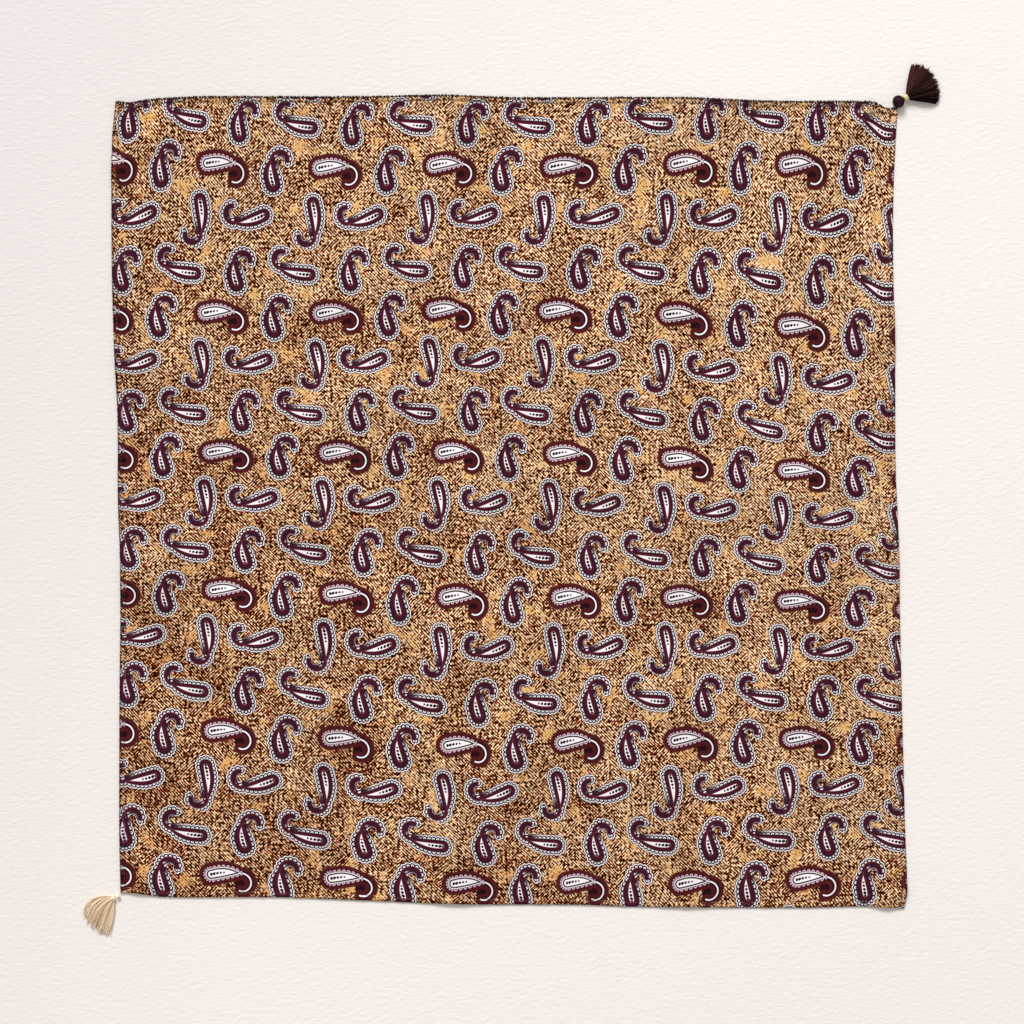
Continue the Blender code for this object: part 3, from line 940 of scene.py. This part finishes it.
# The flat layout, as shares of its square: its margin, the breadth of both sides of the cloth,
# the height of the face, where the wrong side starts and its height, and the breadth of the rim.
FLAT_MARGIN = 0.01
FLAT_BREADTH = 0.98
FACE_HEIGHT = 0.67
WRONG_SIDE_FROM = 0.71
WRONG_SIDE_HEIGHT = 0.28
RIM_BREADTH = 0.004
EDGE_NEARNESS = 0.001


def set_flat_map(mesh, places):
    """A flat layout of the thin square: its face, its wrong side apart from it, and its rim."""
    layer = mesh.uv_layers.new(name="OFBake")
    for face in mesh.polygons:
        for corner_index in face.loop_indices:
            index = mesh.loops[corner_index].vertex_index
            s, t = places[index % len(places)]
            u, v = FLAT_MARGIN + FLAT_BREADTH * s, FLAT_MARGIN + FACE_HEIGHT * t
            if face.normal.z < -0.5:
                v = WRONG_SIDE_FROM + WRONG_SIDE_HEIGHT * t
            elif face.normal.z < 0.5 and mesh.vertices[index].normal.z < 0:
                u += RIM_BREADTH * ((s > 1 - EDGE_NEARNESS) - (s < EDGE_NEARNESS))
                v += RIM_BREADTH * ((t > 1 - EDGE_NEARNESS) - (t < EDGE_NEARNESS))
            layer.uv[corner_index].vector = (u, v)


def make_panel(material):
    """The printed square: a grid moved onto the laid form, given a thin wall."""
    bpy.ops.object.select_all(action="DESELECT")
    bpy.ops.mesh.primitive_grid_add(x_subdivisions=PANEL_STATIONS, y_subdivisions=PANEL_STATIONS,
                                    size=1.0)
    panel = bpy.context.object
    panel.name = panel.data.name = "printed_square"
    mesh = panel.data
    places, shares = [], []
    for vert in mesh.vertices:
        shares.append((vert.co.x + 0.5, vert.co.y + 0.5))
        across = PANEL_INSET + (vert.co.x + 0.5) * (CLOTH_WIDTH - 2 * PANEL_INSET)
        down = PANEL_INSET + (0.5 - vert.co.y) * (CLOTH_LENGTH - 2 * PANEL_INSET)
        places.append(print_place(across, down))
        vert.co = cloth_point(across, down, above=CLOTH_OFF_TABLE)
    set_print_map(mesh, places)
    wall = panel.modifiers.new("wall", "SOLIDIFY")
    wall.thickness = CLOTH_THICKNESS
    wall.offset = 1.0
    bpy.ops.object.modifier_apply(modifier="wall")
    set_flat_map(mesh, shares)
    set_attribute(mesh, "wrong_side", [float(v.normal.z < 0) for v in mesh.vertices])
    set_attribute(mesh, "fold", [0.0] * len(mesh.vertices))
    bpy.ops.object.shade_smooth_by_angle(angle=math.radians(50))
    mesh.materials.append(material)
    return finish_piece(panel, "panel")


def ringed_tube(name, sides, stations):
    """A closed tube of many rings: a cylinder whose long edges are subdivided."""
    bpy.ops.object.select_all(action="DESELECT")
    bpy.ops.mesh.primitive_cylinder_add(vertices=sides, radius=1.0, depth=2.0)
    tube = bpy.context.object
    tube.name = tube.data.name = name
    bpy.ops.object.mode_set(mode="EDIT")
    bpy.ops.mesh.select_mode(type="EDGE")
    bpy.ops.mesh.select_all(action="DESELECT")
    bpy.ops.object.mode_set(mode="OBJECT")
    for edge in tube.data.edges:
        ends = [tube.data.vertices[i].co.z for i in edge.vertices]
        edge.select = abs(ends[0] - ends[1]) > 1.0
    bpy.ops.object.mode_set(mode="EDIT")
    bpy.ops.mesh.subdivide(number_cuts=stations - 1)
    bpy.ops.object.mode_set(mode="OBJECT")
    return tube


def make_hem(side, material):
    """A rolled hem: rings of the roll's cross-section along one side, mitred at both corners."""
    tube = ringed_tube("rolled_hem_" + side, len(HEM_ROLL), HEM_STATIONS)
    mesh = tube.data
    run = side_run(side)
    puckers = random.Random("hem " + side)
    swells = [puckers.uniform(1 - HEM_SWELL, 1 + HEM_SWELL) for _ in range(HEM_STATIONS + 1)]
    places, folds = [], []
    for vert in mesh.vertices:
        turn = math.atan2(vert.co.x, vert.co.y) / TURN
        inset_share, height_share = HEM_ROLL[round(turn * len(HEM_ROLL)) % len(HEM_ROLL)]
        station = round((vert.co.z + 1) / 2 * HEM_STATIONS)
        inset = inset_share * (HEM_WIDTH + HEM_LAP)
        mitre = min(inset, HEM_WIDTH)
        along = mitre + (run - 2 * mitre) * station / HEM_STATIONS
        pucker = 1 + HEM_PUCKER * math.sin(TURN * along / HEM_STITCH_PITCH)
        upper = height_share > HEM_PUCKERS_ABOVE
        height = HEM_WALL * height_share * (pucker * swells[station] if upper else 1)
        across, down = hem_place(side, along, inset)
        vert.co = cloth_point(across, down, above=CLOTH_OFF_TABLE + height)
        rolled = inset - HEM_WIDTH * (height_share < HEM_UNDER_BELOW)
        places.append(print_place(*hem_place(side, along, rolled)))
        folds.append(max(0.0, 1 - inset_share / FOLD_SHADE_REACH) * FOLD_SHADE_TONES[side])
    set_print_map(mesh, places)
    set_attribute(mesh, "wrong_side", [0.0] * len(mesh.vertices))
    set_attribute(mesh, "fold", folds)
    bpy.ops.object.mode_set(mode="EDIT")
    bpy.ops.mesh.select_all(action="SELECT")
    bpy.ops.mesh.normals_make_consistent(inside=False)
    bpy.ops.object.mode_set(mode="OBJECT")
    bpy.ops.object.shade_smooth_by_angle(angle=math.radians(70))
    mesh.materials.append(material)
    return finish_piece(tube, "hem_" + side)


def make_threads(name, runs, radius, material, node=None, closed=False, sides=1,
                 tones=None):
    """One mesh of many threads. Each run is a list of points, each with a share of the radius."""
    curve = bpy.data.curves.new(name, "CURVE")
    curve.dimensions = "3D"
    curve.bevel_depth = radius
    curve.bevel_resolution = sides
    curve.use_fill_caps = not closed
    for run in runs:
        spline = curve.splines.new("POLY")
        spline.points.add(len(run) - 1)
        spline.use_cyclic_u = closed
        for spot, (point, share) in zip(spline.points, run):
            spot.co = (*point, 1.0)
            spot.radius = share
    threads = bpy.data.objects.new(name, curve)
    bpy.context.scene.collection.objects.link(threads)
    bpy.ops.object.select_all(action="DESELECT")
    threads.select_set(True)
    bpy.context.view_layer.objects.active = threads
    bpy.ops.object.convert(target="MESH")
    threads = bpy.context.object
    threads.name = threads.data.name = name
    mesh = threads.data
    each = len(mesh.vertices) // len(runs)
    rings = len(runs[0])
    hand = random.Random(name)
    tones = tones or [hand.random() for _ in runs]
    set_attribute(mesh, "strand", [tones[min(i // each, len(runs) - 1)]
                                   for i in range(len(mesh.vertices))])
    set_attribute(mesh, "along", [(i % each) // (each // rings) / (rings - 1)
                                  for i in range(len(mesh.vertices))])
    bpy.ops.object.shade_smooth()
    mesh.materials.append(material)
    return finish_piece(threads, node)


def make_edge_whip(side, material):
    """Thread whipped over the folded edge of a hem: one slanting half loop after another."""
    radius_mm, pitch_mm, reach_mm, proud_mm = EDGE_WHIPS_MM[side]
    run = side_run(side)
    hand = random.Random("whip " + side)
    count = round(run / MM / pitch_mm)
    runs = []
    for stitch in range(count):
        along = run * (stitch + 0.5) / count + hand.uniform(-0.4, 0.4) * MM
        reach = reach_mm * hand.uniform(0.6, 1.3) * MM
        proud = proud_mm * hand.uniform(0.0, 1.0) ** 1.5 * MM
        slant = pitch_mm * hand.uniform(-0.2, 0.8) * MM
        size = hand.uniform(0.6, 1.2)
        # Rows: inset, height as a share of the hem's thickness, share of the slant.
        path = [(reach, 1.0, 1.0), (reach * 0.35, 1.02, 0.7), (-proud, 0.7, 0.4),
                (-proud, 0.4, 0.2), (reach * 0.5, 0.3, 0.0)]
        runs.append([
            (cloth_point(*hem_place(side, along + slant * share, inset),
                         above=HEM_WALL * level), size)
            for inset, level, share in path
        ])
    return make_threads("edge_whip_" + side, runs, radius_mm * MM, material)


def make_hem_stitches(side, material):
    """The running stitches that hold a hem down."""
    run = side_run(side)
    count = round(run / HEM_STITCH_PITCH) - 2
    hand = random.Random("stitches " + side)
    runs = []
    for stitch in range(count):
        middle = run * (stitch + 1) / (count + 1)
        inset = HEM_STITCH_INSET + hand.uniform(-0.08, 0.08) * MM
        runs.append([
            (cloth_point(*hem_place(side, middle + HEM_STITCH_HALF * way, inset),
                         above=HEM_WALL * (HEM_STITCH_LEVEL + rise)), 1.0)
            for way, rise in HEM_STITCH_PATH
        ])
    return make_threads("hem_stitches_" + side, runs, HEM_STITCH_RADIUS, material)


def line_point(points_mm, share):
    """A point at a share of the way along a line through a few points, in metres."""
    last = len(points_mm) - 1
    return Vector([
        row_curve([(i / last, point[way]) for i, point in enumerate(points_mm)], share)
        for way in (0, 1)
    ]) * MM


def skirt_threads(skirt, neck, seed):
    """Runs and tones of a tassel's cut threads, gathered in locks from the neck to the tips.

    Each lock has its own place in the fan, height, length and tone; the tone also holds painted
    light, lighter towards the fan's first edge.
    """
    hand = random.Random(seed)
    locks = skirt["locks"]
    runs, tones = [], []
    for lock in range(locks):
        share = (lock + 0.5 + hand.uniform(-0.35, 0.35)) / locks
        layer = hand.uniform(0.2, 0.8)
        reach = 1 - hand.uniform(0.0, skirt["ragged"])
        tone = skirt["tone"] + hand.uniform(0.0, LOCK_TONES)
        # Painted highlight: locks towards the fan's first edge are made lighter, as if lit from
        # that side.
        tone += skirt["painted_light_slope"] * (0.8 - share)
        for _ in range(skirt["threads"]):
            angle = hand.uniform(0, TURN)
            out = math.sqrt(hand.random())
            own = min(max(share + 0.5 / locks * out * math.cos(angle), 0.0), 1.0)
            root = neck.lerp(line_point(skirt["root"], own), 0.4)
            bend = line_point(skirt["bend"], own)
            tip = line_point(skirt["tips"], own)
            stray = Vector((hand.gauss(0, 1), hand.gauss(0, 1))) * skirt["stray"]
            stop = reach - hand.uniform(0.0, 0.05)
            full = SKIRT_EDGE_SHARE + (1 - SKIRT_EDGE_SHARE) * math.sin(math.pi * own)
            level = 0.5 + (layer - 0.5) * 0.7 + 0.3 * out * math.sin(angle)
            run = []
            for step in range(SKIRT_STEPS + 1):
                t = step / SKIRT_STEPS * stop
                flat = root * (1 - t) ** 2 + bend * 2 * t * (1 - t) + tip * t**2 + stray * t**2
                wall = (skirt["neck_wall"] * (1 - t) + skirt["tip_wall"] * t) * full
                height = skirt["neck_lift"] * (1 - t) ** 2 + wall * level
                height += skirt["arch"] * full * math.sin(math.pi * t)
                spot = Vector((flat.x, flat.y, max(height, LEAST_THREAD_HEIGHT)))
                run.append((spot, 1 - THREAD_THINNING * t))
            runs.append(run)
            tones.append(min(max(tone + hand.uniform(-THREAD_TONES, THREAD_TONES), 0.0), 1.0))
    return runs, tones


def wound_turns(binding, seed):
    """One continuous winding round a neck: even turns that bulge a little in the middle."""
    hand = random.Random(seed)
    turns, inset = binding["turns"], binding["inset"]
    turned = Euler((0, 0, binding["turn"])).to_matrix().to_4x4()
    place = Matrix.Translation(binding["centre"]) @ turned
    run = []
    for i in range(turns * WINDING_STEPS + 1):
        share = i / (turns * WINDING_STEPS)
        angle = TURN * share * turns
        radius = binding["radius"] - inset + WINDING_BULGE * math.sin(math.pi * share)
        radius += hand.uniform(-0.02, 0.02) * MM
        along = (share - 0.5) * (binding["length"] - 2 * inset)
        spot = Vector((along, radius * math.cos(angle), radius * math.sin(angle)))
        run.append((place @ spot, 1.0))
    return run


def make_bead(material):
    """The round knot: three bands of cord, each of four turns, that pass over and under."""
    middle = Vector((BEAD_AT_MM[0] * MM, BEAD_AT_MM[1] * MM, BEAD_HEIGHT / 2))
    tilt = Euler((0.4, 0.3, 0.5)).to_matrix()
    runs = []
    for axis in range(3):
        for lane in BEAD_LANES:
            offset = lane * BEAD_LANE_PITCH
            run = []
            for i in range(BEAD_TURN_POINTS):
                angle = TURN * i / BEAD_TURN_POINTS
                size = BEAD_RADIUS - BEAD_CORD * (1.15 + 0.45 * math.cos(2 * angle))
                ring = math.sqrt(max(size**2 - offset**2, 0.0))
                spot = (ring * math.cos(angle), ring * math.sin(angle), offset)
                spot = tilt @ Vector([spot[(axis + way) % 3] for way in range(3)])
                spot.z *= BEAD_HEIGHT / 2 / BEAD_RADIUS
                run.append((spot + middle, 1.0))
            runs.append(run)
    return make_threads("knotted_bead", runs, BEAD_CORD, material,
                        node="dark_bead", closed=True, sides=2)


def make_winding(name, binding, material, node, seed, tones=None):
    make_threads(name, [wound_turns(binding, seed)], binding["thread"], material,
                 node=node, tones=tones)


def make_skirt(name, skirt, neck, material, node, seed):
    runs, tones = skirt_threads(skirt, neck, seed)
    make_threads(name, runs, skirt["thread"], material, node=node, tones=tones)


def make_dark_tassel(materials):
    make_bead(materials["bead_cord"])
    make_winding("gold_binding", DARK_BINDING, materials["gold_binding_thread"],
                 "dark_binding", "gold")
    turn = DARK_BINDING["turn"]
    ahead = Vector((math.cos(turn), math.sin(turn))) * DARK_NECK_AHEAD_MM * MM
    make_skirt("dark_fringe", DARK_SKIRT, DARK_BINDING["centre"].xy + ahead,
               materials["dark_fringe_thread"], "dark_skirt", "dark skirt")


def make_natural_tassel(materials):
    cream = materials["natural_fringe_thread"]
    make_winding("natural_knot", NATURAL_HEAD, cream, "natural_head", "knot",
                 tones=[0.9])
    make_winding("natural_winding", NATURAL_BINDING, cream, "natural_binding",
                 "natural", tones=[0.8])
    make_skirt("natural_fringe", NATURAL_SKIRT, NATURAL_BINDING["centre"].xy, cream,
               "natural_skirt", "natural skirt")


# ---- table, light and camera ----

def make_table():
    bpy.ops.object.select_all(action="DESELECT")
    bpy.ops.mesh.primitive_plane_add(size=TABLE_SIZE, location=(0, 0, -TABLE_BELOW))
    table = bpy.context.object
    table.name = "table_top"
    material, wiring, shader = new_material("pale_paper")
    place = wiring.node("TexCoord").outputs["Object"]
    laid_lines = wiring.vector("MULTIPLY", place, PAPER_LINES)
    grain = wiring.node("TexNoise", {"Vector": laid_lines, "Scale": 1.0, "Detail": 3.0}).outputs[0]
    x, y = wiring.parts(place)
    # Painted shade: the paper is painted darker towards the top left and paler elsewhere, as if
    # less light reached that corner.
    painted_light_away_from_top_left = wiring.ramp(wiring.math("MULTIPLY_ADD", y, -0.5, x), -0.55, 0.05)
    tone = wiring.blend(painted_light_away_from_top_left, paint(231, 225, 222), paint(248, 241, 236))
    wiring.feed(shader.inputs["Base Color"], tone)
    shader.inputs["Roughness"].default_value = 0.85
    bump = wiring.node("Bump", {"Height": grain, "Distance": 0.0008, "Strength": 0.5})
    wiring.feed(shader.inputs["Normal"], bump.outputs[0])
    table.data.materials.append(material)


def make_lights():
    world = bpy.data.worlds.new("soft_room")
    world.use_nodes = True
    background = world.node_tree.nodes["Background"]
    background.inputs["Color"].default_value = ROOM_TINT
    background.inputs["Strength"].default_value = ROOM_STRENGTH
    bpy.context.scene.world = world

    light = bpy.data.lights.new("window", "AREA")
    light.size = WINDOW_SIZE
    light.energy = WINDOW_POWER
    lamp = bpy.data.objects.new("window", light)
    lamp.location = WINDOW_AT
    lamp.rotation_euler = (-WINDOW_AT).to_track_quat("-Z", "Y").to_euler()
    bpy.context.scene.collection.objects.link(lamp)


def make_camera():
    data = bpy.data.cameras.new("camera")
    data.lens = LENS_MM
    data.sensor_width = SENSOR_MM
    data.clip_start = 0.05
    camera = bpy.data.objects.new("camera", data)
    camera.location = VIEW_CENTRE + Vector((0, 0, FRAME_WIDTH * LENS_MM / SENSOR_MM))
    bpy.context.scene.collection.objects.link(camera)
    bpy.context.scene.camera = camera


def main():
    make_camera()
    make_lights()
    make_table()
    bpy.context.scene.view_settings.view_transform = "Standard"

    print_group, weave_group = scarf_print_group(), plain_weave_group()
    printed_cloth = cloth_material("printed_cloth_finish", print_group, weave_group)
    threads = {name: thread_material(name, *finish) for name, finish in THREADS.items()}
    panel = make_panel(printed_cloth)
    hems = [make_hem(side, printed_cloth) for side in SIDES]
    trims = [make_edge_whip(side, threads["dark_whip"]) for side in EDGE_WHIPS_MM]
    trims += [make_hem_stitches(side, threads["brown_whip"]) for side in SIDES]
    make_dark_tassel(threads)
    make_natural_tassel(threads)


main()
